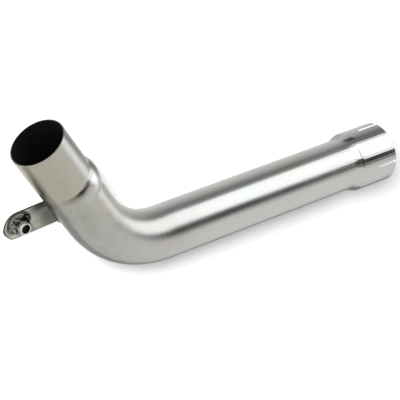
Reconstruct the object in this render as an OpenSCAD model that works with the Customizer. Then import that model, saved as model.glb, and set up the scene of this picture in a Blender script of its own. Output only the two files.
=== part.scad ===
// Decat link pipe for a motorcycle exhaust, lying on its side.
// The origin is the centre of the outlet socket's mouth, +X points out of the socket,
// and the whole centreline lies in the plane z = 0. Millimetres.

/* [Tube] */
// Outside diameter of the tube
tube_od = 50.8; // [40:0.1:70]
// Wall thickness of the tube
tube_wall = 1.5; // [1:0.1:2.5]
// Straight run between the bend and the flare of the socket
run_len = 219; // [80:1:400]
// Radius of the bend, at the centreline
bend_radius = 89; // [60:1:200]
// Angle that the bend turns the tube through, in degrees
bend_angle = 59; // [35:1:90]
// Straight tube between the bend and the inlet's mouth
inlet_straight = 100; // [92:1:200]

/* [Inlet neck] */
// How much wider the sized inlet neck is than the tube, across
neck_swell = 1.2; // [0.4:0.1:3]
// Length of the neck, from its mouth to the shoulder
neck_len = 46; // [25:1:50]
// Length of the taper from the neck down to the tube, which shows on the outside of the bend
taper_len = 14; // [8:0.5:20]
// How far the shoulder's radius exceeds the neck's
shoulder_rise = 1.1; // [0.4:0.1:2]
// Length of the shoulder's steep face, toward the mouth
shoulder_front = 10; // [8:0.5:14]
// Length of the shoulder's long fall, toward the bend
shoulder_back = 16; // [12:0.5:20]

/* [Outlet socket] */
// Bore of the slip socket
socket_bore = 55.5; // [45:0.1:76]
// Length of the socket, past the flare
socket_len = 39.5; // [25:0.5:80]
// Length of the flare between tube and socket
flare_len = 10; // [6:0.5:30]
// Radius that rounds the foot and the head of the flare
flare_round = 7; // [2:0.5:10]
// Number of clamp slots in the socket's end
slot_count = 4; // [2:1:6]
// Length of a clamp slot
slot_len = 23.5; // [10:0.5:24]
// Width of a clamp slot
slot_width = 1.8; // [1:0.1:4]
// Turn of the slots about the socket's axis, in degrees
slot_turn = -3.5; // [-45:0.5:45]
// Bevel on the cut edges of the tube's two mouths
mouth_bevel = 0.3; // [0.1:0.1:0.4]

/* [Hanger tab] */
// Width of the hanger strip
tab_width = 23.8; // [20:0.1:40]
// Thickness of the hanger strip
tab_thick = 2; // [1.5:0.5:4]
// How far the strip's upper face lies below the centreline
tab_drop = 12; // [8:0.5:14]
// Reach of the strip from the tube's wall to the hole, along its middle line
tab_reach = 34.5; // [24:0.5:60]
// Distance from the hole to the strip's tip
tab_tip = 15.8; // [14:0.1:25]
// Radius of the two arcs that round the tip
tip_round = 15.3; // [13:0.1:20]
// Clear straight tube between the bend and the strip's near corner
tab_clear = 11; // [6:0.5:20]
// Angle between the strip and the main run, in degrees
tab_slant = 3.4; // [-10:0.1:10]
// Diameter of the hole under the nut
tab_hole = 9; // [8.4:0.1:10]

/* [Nut] */
// Width of the nut's hexagon across its flats
nut_flats = 13; // [12:0.1:14]
// Height of the nut with its flange and its collar
nut_height = 11; // [10:0.1:12]
// Height from the strip to the top of the hexagon, where the collar starts
hex_height = 8.8; // [8:0.1:9.5]
// Outside diameter of the collar at the nut's top
collar_od = 10.4; // [10:0.1:11.5]
// Diameter of the nut's flange
flange_od = 18; // [17:0.1:19]
// Thickness of the flange at its rim
flange_rim = 1.2; // [0.8:0.1:2]
// Bore of the nut, at the crests of its thread
nut_bore = 6.8; // [6:0.1:7.4]
// Diameter of the countersink at each end of the bore
nut_sink = 8.8; // [8:0.1:9.4]
// Turn of the hexagon about its axis, in degrees
nut_turn = 45; // [0:1:60]
// Turn of the two tacks about the nut's axis, in degrees
tack_turn = 20; // [0:1:180]

/* [Weld] */
// Radius of a weld bead's ripples
bead_radius = 2.2; // [1.5:0.1:3]
// Step from one ripple to the next
bead_step = 2.4; // [1.6:0.1:3]
// Radius of the tack beads that hold the nut
tack_radius = 2; // [1:0.1:2.5]

/* [Hidden] */

$fn = 48;
// Facets of the weld beads and slot ends, and of the shoulder's arcs
bead_facets = 24;
swell_facets = 96;
// Points on a rounded corner of a profile
corner_steps = 5;
// How far a cutter runs past what it cuts
past = 1;

tube_r = tube_od / 2;
tube_bore_r = tube_r - tube_wall;
neck_r = tube_r + neck_swell / 2;
neck_bore_r = neck_r - tube_wall;
socket_bore_r = socket_bore / 2;
socket_r = socket_bore_r + tube_wall;
flare_start = -(flare_len + socket_len);
bend_end_x = flare_start - run_len;

// The slot's cutter starts and ends one wall's thickness clear of the socket's wall
slot_depth = 3 * tube_wall;

// The shoulder leans to the inside of the bend until it is a hair below the tube on the outside
crown_r = neck_r + shoulder_rise;
shoulder_fade = 0.1;
shoulder_shift = crown_r - tube_r + shoulder_fade;
crown_at = neck_len + shoulder_front;
crown_height = inlet_straight - crown_at;
taper_head = inlet_straight - neck_len;
taper_foot = taper_head - taper_len;

// The shoulder's two arcs end a hair inside the neck and the tube, also on the side it leans to
shoulder_sink = shoulder_shift + 2 * shoulder_fade;
front_drop = shoulder_rise + shoulder_sink;
back_drop = crown_r - tube_r + shoulder_sink;

// The bend's wall is this much inside the straight tube's on each side, and this far into it
seam_inset = 0.02;
seam_lap = 0.05;

// The strip's middle line starts on the tube's wall, at the height of its upper face
tab_top = -tab_drop;
tab_bottom = tab_top - tab_thick;
tab_turn = bend_angle + tab_slant;

// The strip meets the wall at a slant, so its seam is longer than it is wide
weld_run = tab_width / sin(tab_turn);
tab_place = tab_clear + weld_run / 2;

// Ripples of the strip's weld, which runs a little past both edges of the strip
weld_count = ceil(weld_run / bead_step) + 1;
// Depth of the troughs between ripples, and the share of the radius left at a bead's blunt ends
ripple_depth = bead_step / 8;
blunt = 0.5;
// Ripples of a tack that holds the nut
tack_count = 3;

// Where the centre of the tip's second arc lies from the first's, along the strip and across it
tip_shift = [1, -4.9];

// The nut's hexagon, its bevelled top, and the slope of its flange
nut_face_step = 0.2;
nut_corner_r = nut_flats / 2 / cos(30);
nut_face_r = nut_flats / 2 - nut_face_step;
nut_bevel_angle = 30;
flange_rise = 3;
rim_bevel = 0.3;

// Distance from the tube's axis to its wall, at the height z
function wall_at(z) = sqrt(tube_r * tube_r - z * z);

// Place along the tube where the strip's middle line meets the wall, at the height z
function seam_at(z) = tab_place - (wall_at(tab_top) - wall_at(z)) / tan(tab_turn);

// Radius, to a hundredth, of an arc that falls by drop over a length run
function arc_drop_radius(run, drop) = round(100 * (run * run + drop * drop) / (2 * drop)) / 100;

// Unit vector from point a to point b
function toward(a, b) = (b - a) / norm(b - a);

// A corner at b between a and c, rounded with radius r
function rounded(a, b, c, r) =
    let (
        u = toward(b, a),
        v = toward(b, c),
        half = acos(u * v) / 2,
        centre = b + toward([0, 0], u + v) * r / sin(half),
        p = b + u * r / tan(half) - centre,
        q = b + v * r / tan(half) - centre,
        start = atan2(p.y, p.x),
        sweep = atan2(p.x * q.y - p.y * q.x, p * q)
    )
    [for (i = [0 : corner_steps]) centre + r * [
        cos(start + sweep * i / corner_steps),
        sin(start + sweep * i / corner_steps)
    ]];

// Half profile of the run, flare and socket as radius against length, at radii near and far
function run_line(near, far, bevel) = concat(
    [[near, bend_end_x]],
    rounded([near, bend_end_x], [near, flare_start], [far, -socket_len], flare_round),
    rounded([near, flare_start], [far, -socket_len], [far, 0], flare_round),
    [[far, -mouth_bevel], [far + bevel, 0]]
);

function reversed(points) = [for (i = [len(points) - 1 : -1 : 0]) points[i]];

// Moves to the end of the bend, looking back toward the inlet along +Z
module at_inlet_end() {
    translate([bend_end_x, bend_radius, 0])
        rotate([0, 0, -bend_angle])
            translate([0, -bend_radius, 0])
                rotate([0, -90, 0])
                    children();
}

// Moves to where the strip's middle line meets the tube, with +X along the strip
module at_tab_root() {
    translate([bend_end_x, bend_radius, 0])
        rotate([0, 0, -bend_angle])
            translate([-tab_place, -bend_radius - wall_at(tab_top), tab_top])
                rotate([0, 0, 180 + tab_turn])
                    children();
}

module at_nut() {
    at_tab_root()
        translate([tab_reach, 0, 0])
            children();
}

module run_and_socket() {
    difference() {
        rotate([-90, 0, -90])
            rotate_extrude()
                polygon(concat(
                    run_line(tube_r, socket_r, -mouth_bevel),
                    reversed(run_line(tube_bore_r, socket_bore_r, mouth_bevel))
                ));
        for (i = [0 : slot_count - 1])
            rotate([slot_turn + i * 360 / slot_count, 0, 0])
                clamp_slot();
    }
}

// One slot, with a round end, that leaves through the socket's mouth on the +Y side
module clamp_slot() {
    translate([0, socket_bore_r - tube_wall, 0])
        rotate([-90, 0, 0])
            linear_extrude(slot_depth)
                union() {
                    translate([-slot_len + slot_width / 2, 0])
                        circle(d = slot_width, $fn = bead_facets);
                    translate([-slot_len + slot_width / 2, -slot_width / 2])
                        square([slot_len, slot_width]);
                }
}

// The bend, which laps a hair into the walls of the straight tubes at its two ends
module bend() {
    lap_angle = seam_lap / bend_radius * 180 / PI;
    translate([bend_end_x, bend_radius, 0])
        rotate([0, 0, -90 - bend_angle - lap_angle])
            rotate_extrude(angle = bend_angle + 2 * lap_angle)
                translate([bend_radius, 0])
                    difference() {
                        circle(r = tube_r - seam_inset);
                        circle(r = tube_bore_r + seam_inset);
                    }
}

// One swell of the shoulder, a body of revolution with two arcs, for a wall at depth inset
module shoulder_swell(inset) {
    front_radius = arc_drop_radius(shoulder_front, front_drop);
    back_radius = arc_drop_radius(shoulder_back, back_drop);
    rotate_extrude()
        union() {
            intersection() {
                translate([crown_r - inset - front_radius, 0])
                    circle(r = front_radius, $fn = swell_facets);
                square([crown_r, shoulder_front]);
            }
            intersection() {
                translate([crown_r - inset - back_radius, 0])
                    circle(r = back_radius, $fn = swell_facets);
                translate([0, -shoulder_back])
                    square([crown_r, shoulder_back]);
            }
        }
}

// The straight end as a solid rod, from the end of the bend to the mouth, at radii near and far
module inlet_rod(near, far, bevel) {
    rotate([0, 0, -90])
        rotate_extrude()
            polygon([
                [0, 0],
                [near, 0],
                [near, taper_foot],
                [far, taper_head],
                [far, inlet_straight - mouth_bevel],
                [far + bevel, inlet_straight],
                [0, inlet_straight]
            ]);
}

// Outside of the straight end, with its neck and its off-centre shoulder
module inlet_outside() {
    inlet_rod(tube_r, neck_r, -mouth_bevel);
    translate([0, shoulder_shift, crown_height])
        shoulder_swell(0);
}

// The straight end of the tube, from the bend to the mouth
module inlet_end() {
    difference() {
        inlet_outside();
        inlet_rod(tube_bore_r, neck_bore_r, mouth_bevel);
        translate([0, shoulder_shift, crown_height])
            shoulder_swell(tube_wall);
    }
}

module exhaust_tube() {
    color([0.74, 0.73, 0.71])
        union() {
            run_and_socket();
            bend();
            at_inlet_end()
                inlet_end();
        }
}

// The tube's outside near the strip, which the strip and its weld stop against
module tube_rod() {
    at_inlet_end()
        inlet_outside();
}

module hanger_tab() {
    color([0.62, 0.62, 0.6])
        difference() {
            at_tab_root()
                translate([0, 0, -tab_thick])
                    tab_blank();
            tube_rod();
            at_nut()
                translate([0, 0, -tab_thick - past])
                    cylinder(d = tab_hole, h = tab_thick + 2 * past);
        }
}

// The strip before it is trimmed against the tube, long enough for both corners to reach the wall,
// with its tip rounded further on the one side than on the other
module tab_blank() {
    arc_at = tab_reach + tab_tip - tip_round;
    root_back = tab_width / 2 / tan(tab_turn)
        + (wall_at(tab_top) - wall_at(tab_bottom) + past) / sin(tab_turn);
    linear_extrude(tab_thick)
        union() {
            translate([-root_back, -tab_width / 2])
                square([arc_at + root_back, tab_width]);
            intersection() {
                translate([arc_at - past, -tab_width / 2])
                    square([past + tip_round, tab_width]);
                translate([arc_at, tip_round - tab_width / 2])
                    circle(r = tip_round);
                translate([arc_at, tip_round - tab_width / 2] + tip_shift)
                    circle(r = tip_round);
            }
        }
}

module flange_nut() {
    bevel_drop = (nut_corner_r + past - nut_face_r) * tan(nut_bevel_angle);
    color([0.7, 0.69, 0.66])
        at_nut()
            difference() {
                union() {
                    intersection() {
                        rotate([0, 0, nut_turn])
                            cylinder(r = nut_corner_r, h = nut_height, $fn = 6);
                        rotate_extrude()
                            polygon([
                                [0, 0],
                                [nut_corner_r + past, 0],
                                [nut_corner_r + past, hex_height - bevel_drop],
                                [nut_face_r, hex_height],
                                [collar_od / 2, nut_height],
                                [0, nut_height]
                            ]);
                    }
                    nut_flange();
                }
                nut_hole();
            }
}

module nut_flange() {
    rotate_extrude()
        polygon([
            [0, 0],
            [flange_od / 2 - rim_bevel, 0],
            [flange_od / 2, rim_bevel],
            [flange_od / 2, flange_rim],
            [nut_face_r, flange_rise],
            [0, flange_rise]
        ]);
}

module nut_hole() {
    sink_depth = (nut_sink - nut_bore) / 2;
    rotate_extrude()
        polygon([
            [0, 0],
            [nut_sink / 2, 0],
            [nut_bore / 2, sink_depth],
            [nut_bore / 2, nut_height - sink_depth],
            [nut_sink / 2, nut_height],
            [0, nut_height]
        ]);
}

// A straight bead of weld along +Z with a ripple at each step and blunt round ends
module bead(radius, count) {
    rotate_extrude($fn = bead_facets)
        polygon(concat(
            [[0, 0]],
            [for (i = [0 : count - 1]) each [
                [i == 0 ? radius * blunt : radius - ripple_depth, i * bead_step],
                [radius, (i + 0.5) * bead_step]
            ]],
            [[radius * blunt, count * bead_step], [0, count * bead_step]]
        ));
}

// A bead above and a bead below the strip, in its corners with the tube, which meet past its edges
module tab_weld() {
    color([0.5, 0.49, 0.48])
        difference() {
            at_inlet_end()
                for (z = [tab_top, tab_bottom])
                    translate([z, -wall_at(z), seam_at(z) - weld_count * bead_step / 2])
                        bead(bead_radius, weld_count);
            tube_rod();
            at_tab_root()
                translate([0, 0, -tab_thick])
                    tab_blank();
        }
}

// Two short tacks, where the nut's flange meets the strip's upper face
module nut_tacks() {
    color([0.42, 0.41, 0.4])
        difference() {
            at_nut()
                for (turn = [tack_turn, tack_turn + 180])
                    rotate([0, 0, turn])
                        translate([flange_od / 2, tack_count * bead_step / 2, 0])
                            rotate([90, 0, 0])
                                bead(tack_radius, tack_count);
            at_nut()
                cylinder(d = flange_od, h = nut_height);
            at_nut()
                translate([0, 0, -tack_radius - past])
                    cylinder(d = 2 * flange_od, h = tack_radius + past);
        }
}

exhaust_tube();
hanger_tab();
tab_weld();
flange_nut();
nut_tacks();
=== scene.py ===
# %% [markdown]
# # A decat pipe for a motorcycle
# This lesson dresses a bent steel exhaust pipe for a studio picture. The solids come from a CAD
# model, which is loaded first and never changed. Everything here is in metres, in the CAD frame:
# the origin is the centre of the outlet socket's mouth, the main run goes from there along -X,
# and the pipe lies on its side, with +Z up.

import math

import bpy
from mathutils import Matrix, Vector


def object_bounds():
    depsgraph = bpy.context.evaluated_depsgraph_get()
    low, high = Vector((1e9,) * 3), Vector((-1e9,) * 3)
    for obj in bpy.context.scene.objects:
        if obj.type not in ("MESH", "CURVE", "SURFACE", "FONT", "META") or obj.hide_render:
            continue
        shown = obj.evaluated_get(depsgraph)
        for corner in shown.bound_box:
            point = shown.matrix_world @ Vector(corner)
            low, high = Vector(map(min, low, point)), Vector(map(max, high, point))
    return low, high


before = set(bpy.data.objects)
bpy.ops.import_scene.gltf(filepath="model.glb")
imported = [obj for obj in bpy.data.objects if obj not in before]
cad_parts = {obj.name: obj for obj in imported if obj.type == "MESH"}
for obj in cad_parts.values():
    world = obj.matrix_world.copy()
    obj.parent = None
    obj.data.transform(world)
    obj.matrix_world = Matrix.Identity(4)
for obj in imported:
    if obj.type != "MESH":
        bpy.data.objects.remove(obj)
cad_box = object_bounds()
scene = bpy.context.scene
print("pieces:", sorted(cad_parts))
print("size of the pipe in metres:", [round(v, 3) for v in cad_box[1] - cad_box[0]])

# %% [markdown]
# ## The size of the pipe
# The finishes follow the tube round its bend, so they need its centreline. A pipe bender knows the
# same few numbers: the tube's radius, the length of the run, and the radius and angle of the bend.

# %% The centreline of the tube
MM = 0.001
TUBE_R = 25.4 * MM
SOCKET_LEN = 39.5 * MM
FLARE_LEN = 10 * MM
BEND_END_X = -268.5 * MM
BEND_R = 89 * MM
BEND_ANGLE = math.radians(59)
INLET_LEN = 100 * MM

BEND_CENTRE = Vector((BEND_END_X, BEND_R, 0))
INLET_WAY = Vector((-math.cos(BEND_ANGLE), math.sin(BEND_ANGLE), 0))
INLET_FOOT = BEND_CENTRE + BEND_R * Vector((-math.sin(BEND_ANGLE), -math.cos(BEND_ANGLE), 0))
INLET_MOUTH = INLET_FOOT + INLET_LEN * INLET_WAY
print("centre of the inlet's mouth:", [round(v, 4) for v in INLET_MOUTH])

# %% [markdown]
# ## The camera
# A long lens from well away keeps the pipe's sides nearly parallel, as in a catalogue picture. The
# photograph shows the pipe propped on edge, where it couldn't stay. Here it lies as it would come
# to rest, and the camera takes the same view of it, from above and rolled to one side.

# %% Place the camera
CAMERA_PLACE = Vector((-1.0764, 0.7492, 1.0994))
CAMERA_LEFT_TO_RIGHT = Vector((0.78843, -0.00508, 0.61511))
CAMERA_UP = Vector((0.28968, 0.88521, -0.36399))
FOCAL_PIXELS = 1700
PICTURE_PIXELS = 400
SENSOR_MM = 36

camera = bpy.data.objects.new("Camera", bpy.data.cameras.new("Camera"))
scene.collection.objects.link(camera)
scene.camera = camera
camera.data.sensor_width = SENSOR_MM
camera.data.lens = SENSOR_MM * FOCAL_PIXELS / PICTURE_PIXELS
right = CAMERA_LEFT_TO_RIGHT.normalized()
back = right.cross(CAMERA_UP).normalized()
up = back.cross(right)
turn = Matrix((right, up, back)).transposed()
camera.matrix_world = Matrix.Translation(CAMERA_PLACE) @ turn.to_4x4()
print("lens:", round(camera.data.lens, 1), "mm")

# %% [markdown]
# ## Shader maths in plain Python
# A finish is a little formula: how far round the tube a point is, how rough it is there. Blender
# builds such formulas from nodes. This class wraps a node's socket, so that a formula can be
# written as Python and each operator adds its own Math node.


# %% A socket that can be added and multiplied
class Value:
    def __init__(self, nodes, socket):
        self.nodes = nodes
        self.socket = socket

    def math(self, operation, *others):
        return self.nodes.add("ShaderNodeMath", {"operation": operation}, {0: self, **dict(enumerate(others, 1))})

    def __add__(self, other):
        return self.math("ADD", other)

    def __sub__(self, other):
        return self.math("SUBTRACT", other)

    def __mul__(self, other):
        return self.math("MULTIPLY", other)

    def __truediv__(self, other):
        return self.math("DIVIDE", other)

    def __radd__(self, other):
        return self.nodes.add("ShaderNodeMath", {"operation": "ADD"}, {0: other, 1: self})

    def __rsub__(self, other):
        return self.nodes.add("ShaderNodeMath", {"operation": "SUBTRACT"}, {0: other, 1: self})

    def __rmul__(self, other):
        return self.nodes.add("ShaderNodeMath", {"operation": "MULTIPLY"}, {0: other, 1: self})

    def power(self, exponent):
        return self.math("POWER", exponent)

    def smallest(self, other):
        return self.math("MINIMUM", other)

    def largest(self, other):
        return self.math("MAXIMUM", other)

    def ramp(self, low, high):
        """0 below low, 1 above high, and a smooth step between them."""
        return self.nodes.add(
            "ShaderNodeMapRange",
            {"interpolation_type": "SMOOTHSTEP"},
            {"Value": self, "From Min": low, "From Max": high},
        )


# %% [markdown]
# Materials and the world are both trees of nodes. One method `add` makes any node: the type first,
# then the settings, then what goes into the sockets, either a plain value or a link from another
# node.


# %% A tree of nodes
class Tree:
    def __init__(self, tree):
        self.tree = tree

    def add(self, kind, settings=None, inputs=None, output=0):
        node = self.tree.nodes.new(kind)
        for name, value in (settings or {}).items():
            if name == "stops":
                self.set_stops(node, value)
            else:
                setattr(node, name, value)
        for name, value in (inputs or {}).items():
            self.feed(node.inputs[name], value)
        return Value(self, node.outputs[output])

    def feed(self, socket, value):
        if isinstance(value, Value):
            self.tree.links.new(value.socket, socket)
        else:
            socket.default_value = value

    def set_stops(self, node, stops):
        ramp = node.color_ramp
        while len(ramp.elements) < len(stops):
            ramp.elements.new(1)
        for element, (place, colour) in zip(ramp.elements, stops):
            element.position = place
            element.color = (*colour, 1)

    def mix(self, share, a, b):
        """Colour a where share is 0 and colour b where it is 1."""
        return self.add(
            "ShaderNodeMix",
            {"data_type": "RGBA"},
            {0: share, 6: a, 7: b},
            output=2,
        )

    def place(self):
        return self.add("ShaderNodeNewGeometry")

    def parts(self, vector):
        split = self.tree.nodes.new("ShaderNodeSeparateXYZ")
        self.feed(split.inputs[0], vector)
        return [Value(self, output) for output in split.outputs]

    def vector(self, x, y, z):
        return self.add("ShaderNodeCombineXYZ", {}, {0: x, 1: y, 2: z})

    def noise(self, vector, scale, detail=2, roughness=0.5, dimensions="3D"):
        return self.add(
            "ShaderNodeTexNoise",
            {"noise_dimensions": dimensions},
            {"Vector": vector, "Scale": scale, "Detail": detail, "Roughness": roughness},
        )

    def bump(self, height, strength, distance, **below):
        return self.add("ShaderNodeBump", {}, {"Height": height, "Strength": strength, "Distance": distance, **below})


def colour(red, green, blue):
    return (red, green, blue, 1)


def grey(level):
    return colour(level, level, level)


# %% [markdown]
# A finish starts as an empty material with one Principled shader. What is the same all over the
# surface is set when it is made, and `drive` links what changes over it.


# %% A finish
class Finish(Tree):
    def __init__(self, name, **constants):
        self.material = bpy.data.materials.new(name)
        self.material.use_nodes = True
        super().__init__(self.material.node_tree)
        self.shader = self.tree.nodes["Principled BSDF"]
        for socket, value in constants.items():
            self.shader.inputs[socket.replace("_", " ")].default_value = value

    def drive(self, **sockets):
        for name, value in sockets.items():
            self.feed(self.shader.inputs[name.replace("_", " ")], value)


# %% [markdown]
# ## Where on the tube a point is
# A bender's belt and a sander's belt leave their marks round the tube, so every fine line is a ring
# about the centreline. Three numbers say where a point is: how far along the centreline, how far
# from it sideways, and how high. Run, bend and inlet each have their own simple formula, and two
# masks choose between them.


# %% Distance along the centreline and distance from it
class TubePlace:
    def __init__(self, finish):
        self.x, self.y, self.z = finish.parts(finish.place())
        from_centre_x = BEND_CENTRE.x - self.x
        from_centre_y = BEND_CENTRE.y - self.y
        turn = from_centre_x.math("ARCTAN2", from_centre_y)
        in_bend = turn.math("GREATER_THAN", 0)
        in_inlet = turn.math("GREATER_THAN", BEND_ANGLE)
        inlet_x = self.x - INLET_FOOT.x
        inlet_y = self.y - INLET_FOOT.y
        inlet_length = (inlet_x * INLET_WAY.x + inlet_y * INLET_WAY.y).largest(0)
        inlet_side = inlet_x * INLET_WAY.y - inlet_y * INLET_WAY.x
        bend_side = BEND_R - (from_centre_x * from_centre_x + from_centre_y * from_centre_y).power(0.5)
        side = self.y + in_bend * (bend_side - self.y)
        self.side = side + in_inlet * (inlet_side - side)
        self.along = -1 * (
            (self.x - BEND_CENTRE.x).largest(0)
            + BEND_CENTRE.x
            - turn.largest(0).smallest(BEND_ANGLE) * BEND_R
            - inlet_length
        )
        self.radius = (self.side * self.side + self.z * self.z).power(0.5)
        self.angle = self.z.math("ARCTAN2", self.side)


# %% [markdown]
# ## Brushed stainless steel
# The tube is satin stainless steel. A belt has gone round it and left fine rings, which stretch
# every reflection along the tube. Real rings differ in depth, so the height comes from noise that
# changes fast along the tube and slowly round it, and the roughness drifts in soft patches. The
# bore was never brushed: inside the wall's middle radius the steel is dull, and painted near-black
# as shade.


# %% The tube's steel
WALL_MIDDLE = 24.9 * MM
SOCKET_STEP = 3.6 * MM
SLOT_LEN = 23.7 * MM
SLOT_HALF = 1.15 * MM
SLOT_TURN = math.radians(-3.5)
FLARE_SOFTNESS = 0.94
CREASE_FROM_MOUTH = 50.5 * MM
CREASE_HALF = 1.6 * MM
SHOULDER_PAINT_LEN = 11 * MM
RING_ALONG, RING_HALF = 42 * MM, 1.3 * MM
WELD = Vector((-391, 70, -5)) * MM
WRINKLE_ALONG, WRINKLE_LEN = 42.5 * MM, 8 * MM
WRINKLE_ANGLE, WRINKLE_ARC = math.radians(10), math.radians(7)
TUBE_LEN = -BEND_END_X + BEND_R * BEND_ANGLE + INLET_LEN


def bright_slot_walls(at):
    """1 on the walls of the clamp slots and on the thin band along their edges, which get a painted highlight."""
    across = at.side * math.cos(SLOT_TURN) + at.z * math.sin(SLOT_TURN)
    upright = at.z * math.cos(SLOT_TURN) - at.side * math.sin(SLOT_TURN)
    nearest = across.math("ABSOLUTE").smallest(upright.math("ABSOLUTE"))
    return (SLOT_HALF - nearest).math("GREATER_THAN", 0) * (SLOT_LEN - at.along).math("GREATER_THAN", 0)


def flare_wrinkle_shade(at):
    """1 on the small wrinkle where the flaring tool gathered the steel, which is painted dark as shade, 0 off it."""
    lengthwise = ((at.along - WRINKLE_ALONG) / WRINKLE_LEN).power(2)
    round_tube = ((at.angle - WRINKLE_ANGLE + 14 * (at.along - WRINKLE_ALONG)) / WRINKLE_ARC).power(2)
    return 1 - (lengthwise + round_tube).ramp(0, 1)


def flare_ring_shade(at):
    """1 in the thin ring of painted shade where the flare turns into the socket, on the stretch where it shows."""
    across = ((at.along - RING_ALONG) / RING_HALF).math("ABSOLUTE")
    reach = at.angle.ramp(math.radians(34), math.radians(48)) * (1 - at.angle.ramp(math.radians(70), math.radians(85)))
    return (1 - across.ramp(0, 1)) * reach


def crease_reach(at):
    """1 on the stretch round the tube where the crease is deep."""
    return at.angle.ramp(math.radians(60), math.radians(82)) * (1 - at.angle.ramp(math.radians(105), math.radians(160)))


def shoulder_crease(at):
    """1 at the bottom of the crease where the neck's sizing tool stopped, 0 off it."""
    across = ((TUBE_LEN - CREASE_FROM_MOUTH - at.along) / CREASE_HALF).math("ABSOLUTE")
    return (1 - across.ramp(0, 1)) * crease_reach(at)


def crease_shade(at):
    """1 on the painted shade just behind the crease, fading out towards the bend."""
    share = (TUBE_LEN - CREASE_FROM_MOUTH - at.along) / SHOULDER_PAINT_LEN
    off_highlight = at.angle.ramp(math.radians(68), math.radians(95))
    return share.ramp(-0.05, 0.05) * (1 - share.ramp(0.05, 0.85)) * crease_reach(at) * off_highlight


def weld_soot_and_shade(finish, at):
    """1 round the strip's weld, where soot and painted shade darken the tube, 0 away from it."""
    dx, dy, dz = at.x - WELD.x, at.y - WELD.y, at.z - WELD.z
    distance = (dx * dx + dy * dy + dz * dz).power(0.5)
    ragged = finish.noise(finish.place(), 160, detail=3)
    return 1 - (distance + 0.01 * ragged).ramp(0.010, 0.024)


def shoulder_highlight(at):
    """1 on the painted highlight beside the crease, which widens away from it."""
    share = (TUBE_LEN - CREASE_FROM_MOUTH - at.along) / SHOULDER_PAINT_LEN
    middle, half = math.radians(62), math.radians(13)
    across = ((at.angle - middle + 0.25 * share) / half).math("ABSOLUTE")
    return share.ramp(0, 0.12) * (1 - share.ramp(0.7, 1.1)) * (1 - (across + share * 0.4).ramp(0.7, 1.1))


def tube_steel():
    finish = Finish("tube_steel", Metallic=1.0)
    at = TubePlace(finish)
    rings = finish.noise(finish.vector(at.along * 2600, at.z * 22, at.side * 22), 1, detail=3, roughness=0.6)
    bands = finish.noise(finish.vector(at.along * 240, at.z * 12, at.side * 12), 1, detail=2)
    patches = finish.noise(finish.place(), 24, detail=3)
    hues = finish.noise(finish.vector(at.x + 0.7, at.y, at.z * 0.4), 34, detail=1).ramp(0.35, 0.65)
    in_bend = at.along.ramp(0.2, 0.34)
    in_neck = at.along.ramp(0.400, 0.411)
    near_socket = 1 - at.along.ramp(0.03, 0.06)
    run_tint = finish.mix(hues, colour(0.70, 0.685, 0.645), colour(0.665, 0.69, 0.64))
    run = finish.mix(patches.ramp(0.3, 0.7), run_tint, colour(0.705, 0.71, 0.68))
    bend_tint = finish.mix(hues, colour(0.575, 0.545, 0.475), colour(0.50, 0.52, 0.46))
    bend = finish.mix(patches.ramp(0.3, 0.7), bend_tint, colour(0.60, 0.61, 0.59))
    mottle = finish.noise(finish.place(), 95, detail=4, roughness=0.65)
    bend = finish.mix(mottle.ramp(0.38, 0.62) * 0.45, bend, colour(0.65, 0.645, 0.60))
    # Painted reflection: one side of the neck is tinted warmer, standing in for a warm reflection.
    warm_reflection_side = at.angle.ramp(math.radians(60), math.radians(85))
    neck_cool = finish.mix(patches, colour(0.56, 0.56, 0.53), colour(0.62, 0.62, 0.60))
    neck_reflection_tint = finish.mix(hues, colour(0.61, 0.565, 0.475), colour(0.57, 0.555, 0.43))
    neck = finish.mix(warm_reflection_side, neck_cool, neck_reflection_tint)
    neck = finish.mix(mottle.ramp(0.38, 0.62) * 0.3, neck, colour(0.64, 0.62, 0.56))
    outside = finish.mix(in_neck, finish.mix(in_bend, run, bend), neck)
    crease = shoulder_crease(at)
    # Painted shade: the crease and the band just behind it are painted dark brown.
    outside = finish.mix((crease * 0.28).largest(crease_shade(at) * 0.5), outside, colour(0.1, 0.09, 0.07))
    # Painted highlight: a bright patch on the shoulder beside the crease.
    outside = finish.mix(shoulder_highlight(at), outside, colour(0.86, 0.85, 0.80))
    # Painted shade: the flare's wrinkle has no shape of its own, only this dark paint.
    outside = finish.mix(flare_wrinkle_shade(at) * 0.85, outside, grey(0.08))
    # Painted shade: a thin dark ring where the flare turns into the socket.
    outside = finish.mix(flare_ring_shade(at) * 0.45, outside, grey(0.15))
    # Soot round the strip's weld, and painted shade where the strip meets the tube.
    outside = finish.mix(weld_soot_and_shade(finish, at) * 0.94, outside, colour(0.04, 0.037, 0.03))
    in_socket = (SOCKET_LEN + FLARE_LEN - at.along).ramp(0, FLARE_LEN)
    wall_middle = WALL_MIDDLE + SOCKET_STEP * in_socket
    inside = (wall_middle - at.radius).math("GREATER_THAN", 0)
    # Painted shade: the bore is painted near-black, and rougher.
    shaded_bore = inside * at.along.ramp(0.03, 0.07)
    # Painted highlight: the clamp slots' walls are painted near-white, so the slots read as bright openings.
    steel = finish.mix(bright_slot_walls(at), outside, grey(0.95))
    flare = (at.radius - TUBE_R) * (1 - at.along.ramp(0.06, 0.08))
    formed = finish.bump(-FLARE_SOFTNESS * flare - 0.0003 * crease, 1, 1)
    finish.drive(
        Base_Color=finish.mix(shaded_bore, steel, grey(0.05)),
        Roughness=0.16 + 0.08 * patches + 0.04 * bands + 0.08 * in_bend - 0.11 * near_socket + 0.5 * shaded_bore,
        Normal=finish.bump(rings * 0.7 + bands * 0.3, 0.2, 0.00004, Normal=formed),
    )
    return finish.material


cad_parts["exhaust_tube"].data.materials.clear()
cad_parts["exhaust_tube"].data.materials.append(tube_steel())


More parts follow.
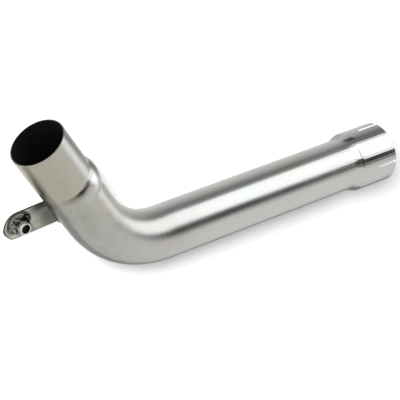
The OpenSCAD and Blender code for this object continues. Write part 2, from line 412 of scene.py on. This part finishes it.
# %% The small pieces' finishes
NUT = Vector((-410.998, 50.525, -12)) * MM
NUT_TOP = 11 * MM
HEX_HEIGHT = 8.8 * MM
THREAD_R = 4.1 * MM
FLANGE_FOOT_R = 6.9 * MM
TO_TUBE = math.radians(31)
STRIP_TURN = math.radians(3.4)
STRIP_ROOT = Vector((-387.5, 66, -12)) * MM
STRIP_HALF = 11.9 * MM
TIP_R = 15.2 * MM


class NutPlace:
    """Where a point is, seen from the middle of the nut's foot."""

    def __init__(self, finish):
        x, y, z = finish.parts(finish.place())
        self.x, self.y, self.height = x - NUT.x, y - NUT.y, z - NUT.z
        self.radius = (self.x * self.x + self.y * self.y).power(0.5)
        self.toward_tube = self.x * math.cos(TO_TUBE) + self.y * math.sin(TO_TUBE)
        self.left = self.y * math.cos(TO_TUBE) - self.x * math.sin(TO_TUBE)
        self.lengthwise = self.x * math.cos(STRIP_TURN) + self.y * math.sin(STRIP_TURN)
        self.across = self.y * math.cos(STRIP_TURN) - self.x * math.sin(STRIP_TURN)


def dark_patch(finish, at):
    """1 on a near-black patch with a ragged edge on the nut's tube side, 0 away from it."""
    from_middle_x, from_middle_y = at.x - 0.0072, at.y - 0.0040
    distance = (from_middle_x * from_middle_x + from_middle_y * from_middle_y).power(0.5)
    ragged = finish.noise(finish.place(), 420, detail=3)
    return 1 - (distance + 0.004 * ragged).ramp(0.0062, 0.0078)


def strip_steel():
    finish = Finish("strip_steel", Metallic=0.7)
    at = NutPlace(finish)
    patches = finish.noise(finish.place(), 130, detail=3)
    blotches = finish.noise(finish.place(), 260, detail=2)
    steel = finish.mix(patches.ramp(0.35, 0.65), colour(0.47, 0.465, 0.40), colour(0.64, 0.63, 0.56))
    side_edge = at.across.math("ABSOLUTE").ramp(STRIP_HALF - 1.1 * MM, STRIP_HALF - 0.2 * MM)
    tip_edge = at.radius.ramp(TIP_R - 1.3 * MM, TIP_R) * (1 - at.lengthwise.ramp(-4 * MM, 4 * MM))
    # Darker in a ring round the nut's flange, on one side of it.
    scale = (1 - (at.radius - 11.4 * MM).math("ABSOLUTE").ramp(1.0 * MM, 2.3 * MM)) * at.left.ramp(-2 * MM, 5 * MM)
    root_x, root_y = at.x - (STRIP_ROOT.x - NUT.x), at.y - (STRIP_ROOT.y - NUT.y)
    from_root = (root_x * root_x + root_y * root_y).power(0.5)
    # Soot at the strip's root, with painted shade where it meets the tube.
    root_smoke_and_shade = 1 - (from_root + 0.004 * patches).ramp(0.007, 0.017)
    # Painted shade: the strip is painted darker towards the tube.
    smoke_and_shade = (at.toward_tube.ramp(9 * MM, 24 * MM) * 0.66).largest(root_smoke_and_shade * 0.95)
    # Painted shade: the strip's cut faces, which don't face up, are painted dark.
    facing = finish.add("ShaderNodeNewGeometry", output=1)
    _, _, facing_up = finish.parts(facing)
    side_face_shade = 1 - facing_up.math("ABSOLUTE").ramp(0.3, 0.7)
    # Dark edges and ring, soot and painted shade, all painted with one dark colour.
    dirt_and_shade = (side_edge.largest(tip_edge) * 0.7).largest(side_face_shade).largest(scale * 0.85).largest(smoke_and_shade)
    darkened_steel = finish.mix(dirt_and_shade, steel, colour(0.05, 0.048, 0.04))
    finish.drive(
        Base_Color=finish.mix(dark_patch(finish, at) * 0.97, darkened_steel, colour(0.012, 0.010, 0.007)),
        Roughness=0.52 + 0.2 * blotches + 0.1 * dirt_and_shade,
        Normal=finish.bump(blotches, 0.4, 0.0003),
    )
    return finish.material


def nut_steel():
    finish = Finish("nut_steel", Metallic=1.0)
    at = NutPlace(finish)
    mottle = finish.noise(finish.place(), 380, detail=3)
    facing = finish.add("ShaderNodeNewGeometry", output=1)
    _, _, facing_up = finish.parts(facing)
    side_face = 1 - facing_up.ramp(0.2, 0.5)
    # Painted shade: the hexagon's side faces are painted near-black.
    shaded_hex_sides = (1 - (at.radius - FLANGE_FOOT_R).math("GREATER_THAN", 0)) * side_face
    flange = finish.mix(mottle.ramp(0.42, 0.58), colour(0.10, 0.095, 0.08), colour(0.64, 0.63, 0.58))
    body = finish.mix(shaded_hex_sides, flange, finish.mix(mottle, colour(0.03, 0.028, 0.02), colour(0.10, 0.095, 0.075)))
    # Painted highlight on the nut's top and collar, with painted shade in the thin groove under the collar.
    hex_top = (at.height - HEX_HEIGHT + 0.4 * MM).math("GREATER_THAN", 0)
    collar = (at.height - HEX_HEIGHT - 0.7 * MM).math("GREATER_THAN", 0)
    groove = (at.height - HEX_HEIGHT - 0.05 * MM).math("GREATER_THAN", 0) * (1 - collar)
    top_light_and_groove_shade = finish.mix(groove, colour(0.93, 0.92, 0.89), colour(0.13, 0.125, 0.11))
    body = finish.mix(hex_top, body, top_light_and_groove_shade)
    body = finish.mix(dark_patch(finish, at) * (1 - collar), body, colour(0.012, 0.010, 0.007))
    # Painted shade: the threaded hole is painted near-black.
    hole = (THREAD_R - at.radius).math("GREATER_THAN", 0)
    finish.drive(
        Base_Color=finish.mix(hole, body, grey(0.015)),
        Roughness=0.3 + 0.25 * mottle,
        Normal=finish.bump(mottle, 0.3, 0.0002),
    )
    return finish.material


def weld_steel(name, tone):
    finish = Finish(name, Metallic=1.0)
    ripples = finish.noise(finish.place(), 500, detail=2)
    finish.drive(
        Base_Color=finish.mix(ripples.ramp(0.35, 0.65), colour(*(0.35 * v for v in tone)), colour(*tone)),
        Roughness=0.35 + 0.25 * ripples,
        Normal=finish.bump(ripples, 0.6, 0.0006),
    )
    return finish.material


for node, material in (
    ("hanger_tab", strip_steel()),
    ("tab_weld", weld_steel("tab_weld", (0.3, 0.29, 0.26))),
    ("flange_nut", nut_steel()),
    ("nut_tacks", weld_steel("nut_tacks", (0.4, 0.39, 0.35))),
):
    node_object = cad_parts[node]
    node_object.data.materials.clear()
    node_object.data.materials.append(material)
print("small pieces dressed")

# %% [markdown]
# ## The floor
# The pipe lies on a sheet of pale paper. The camera should see it as plain white but keep the soft
# shadow, so what the camera sees gets a little glow on top of the paper's own shade. Steel shows
# the paper too. It mirrors it from very low, where a real sheet curves away and darkens, so the
# shade that steel sees falls off with the distance from the pipe.

# %% Paper floor
FLOOR_Z = cad_box[0].z
PAPER = 0.88
CAMERA_GLOW = 0.09
INLET_GLOW = 0.65
NEAR_PAPER = 0.76
FAR_PAPER = 0.12
NEAR_Y, FAR_Y = -0.03, 0.12
SHADED_PAPER = 0.26

bpy.ops.mesh.primitive_plane_add(size=8, location=(-0.2, 0.05, FLOOR_Z))
floor = bpy.context.object
floor.name = "floor"
paper = Finish("paper", Roughness=0.9)
is_camera = paper.add("ShaderNodeLightPath", output=0)
is_glossy = paper.add("ShaderNodeLightPath", output=3)
paper_x, paper_y, _ = paper.parts(paper.place())
beside_inlet = 1 - paper_x.ramp(-0.37, -0.30)
from_pipe_x, from_pipe_y = paper_x + 0.2, paper_y - 0.05
far_away = (from_pipe_x * from_pipe_x + from_pipe_y * from_pipe_y).power(0.5).ramp(0.35, 1.0)
glow_near = paper.mix(beside_inlet, grey(CAMERA_GLOW), grey(INLET_GLOW))
before_inlet = 1 - paper_x.ramp(-0.32, -0.24)
outside_bend = 1 - paper_x.ramp(-0.42, -0.33)
under_pipe = paper_y.ramp(-0.30, -0.13) * (1 - (paper_y - 0.09 * outside_bend).ramp(-0.05, -0.01))
mirrored_paper = paper.mix(
    (paper_y - 0.08 * before_inlet).ramp(NEAR_Y, FAR_Y),
    paper.mix(under_pipe, grey(NEAR_PAPER), grey(SHADED_PAPER)),
    grey(FAR_PAPER),
)
paper.drive(
    Base_Color=paper.mix(is_glossy, grey(PAPER), mirrored_paper),
    Emission_Color=paper.mix(is_camera, grey(0), paper.mix(far_away, glow_near, grey(1))),
)
paper.shader.inputs["Emission Strength"].default_value = 1
floor.data.materials.append(paper.material)

# %% [markdown]
# ## The light
# Polished metal is lit by what it mirrors. One tall soft panel stands beyond the run and gives the
# broad white stripe along it. The room round it is an even pale grey, with one dark gap above the
# panel, where a real studio has no lamp: it draws the thin dark line beside the white stripe.

# %% The soft panel
PANEL_TURN = math.radians(50)
PANEL_FAR = 1.6
PANEL_LEFT, PANEL_RIGHT = 0.8, 1.7
PANEL_FOOT, PANEL_TOP = 0.05, 1.8
PANEL_RADIANCE = 0.70
PANEL_TINT = (0.97, 0.99, 1.06)

toward_panel = Vector((math.cos(PANEL_TURN), math.sin(PANEL_TURN), 0))
along_panel = Vector((toward_panel.y, -toward_panel.x, 0))


def soft_light(name, middle, way, width, height, radiance, tint=(1, 1, 1)):
    """A flat lamp of a given brightness, which shines along way and stays out of the picture."""
    lamp = bpy.data.lights.new(name, "AREA")
    lamp.shape = "RECTANGLE"
    lamp.size = width
    lamp.size_y = height
    lamp.energy = radiance * math.pi * width * height
    lamp.color = tint
    holder = bpy.data.objects.new(name, lamp)
    scene.collection.objects.link(holder)
    holder.matrix_world = Matrix.Translation(middle) @ way.to_track_quat("-Z", "Y").to_matrix().to_4x4()
    holder.visible_camera = False
    print(name, round(lamp.energy, 1), "W")
    return holder


soft_light(
    "soft_panel",
    Vector((-0.2, 0, (PANEL_FOOT + PANEL_TOP) / 2))
    + PANEL_FAR * toward_panel
    + (PANEL_RIGHT - PANEL_LEFT) / 2 * along_panel,
    -toward_panel,
    PANEL_LEFT + PANEL_RIGHT,
    PANEL_TOP - PANEL_FOOT,
    PANEL_RADIANCE,
    PANEL_TINT,
)

# %% [markdown]
# The panel alone would throw its shadow to the wrong side. A small lamp above and behind, where no
# part of the tube that the camera sees can mirror it, gives the paper its soft shadow.

# %% The shadow lamp
KEY_TURN, KEY_RISE = math.radians(136), math.radians(37)
KEY_FAR, KEY_SIZE, KEY_RADIANCE = 2.6, 0.75, 59

toward_key = Vector(
    (math.cos(KEY_TURN) * math.cos(KEY_RISE), math.sin(KEY_TURN) * math.cos(KEY_RISE), math.sin(KEY_RISE))
)
shadow_lamp = soft_light(
    "shadow_lamp", Vector((-0.2, 0, 0)) + KEY_FAR * toward_key, -toward_key, KEY_SIZE, KEY_SIZE, KEY_RADIANCE
)
shadow_lamp.visible_glossy = False

# %% [markdown]
# The world answers each kind of ray with its own shade: white for the camera, the room with its
# dark gap for what the steel mirrors, and plain pale grey for everything that only lights the
# scene.

# %% The room
ROOM = 0.76
ROOM_BEHIND = 0.66
GAP = 0.02
GLOW = 1.25
GLOW_TURN = math.radians(-8)
ROOM_FOR_DIFFUSE = 0.35

world = bpy.data.worlds.new("World")
scene.world = world
world.use_nodes = True
room = Tree(world.node_tree)
background = world.node_tree.nodes["Background"]
direction = room.add("ShaderNodeTexCoord")
dx, dy, dz = room.parts(direction)
level = (dx * dx + dy * dy).power(0.5).largest(0.001)
rise = dz / level
ahead = (dx * toward_panel.x + dy * toward_panel.y) / level
height = rise / ahead.largest(0.02)
over_panel = height.ramp(1.0, 1.2) * (1 - height.ramp(3.0, 5.0)) * ahead.ramp(0.3, 0.85)
overhead = rise.ramp(1.7, 2.3)
gap = over_panel.largest(overhead)
beside_panel = (dx * math.cos(GLOW_TURN) + dy * math.sin(GLOW_TURN)) / level
glow = beside_panel.ramp(0.93, 0.985) * rise.ramp(-0.02, 0.05) * (1 - rise.ramp(0.3, 0.46))
plain = room.mix((-1 * ahead).ramp(0.35, 0.9), grey(ROOM), grey(ROOM_BEHIND))
mirrored = room.mix(gap, room.mix(glow, plain, grey(GLOW)), grey(GAP))
camera_ray = room.add("ShaderNodeLightPath", output=0)
glossy_ray = room.add("ShaderNodeLightPath", output=3)
shade = room.mix(glossy_ray, grey(ROOM_FOR_DIFFUSE), mirrored)
room.feed(background.inputs["Color"], room.mix(camera_ray, shade, grey(1)))
background.inputs["Strength"].default_value = 1

scene.view_settings.view_transform = "Standard"
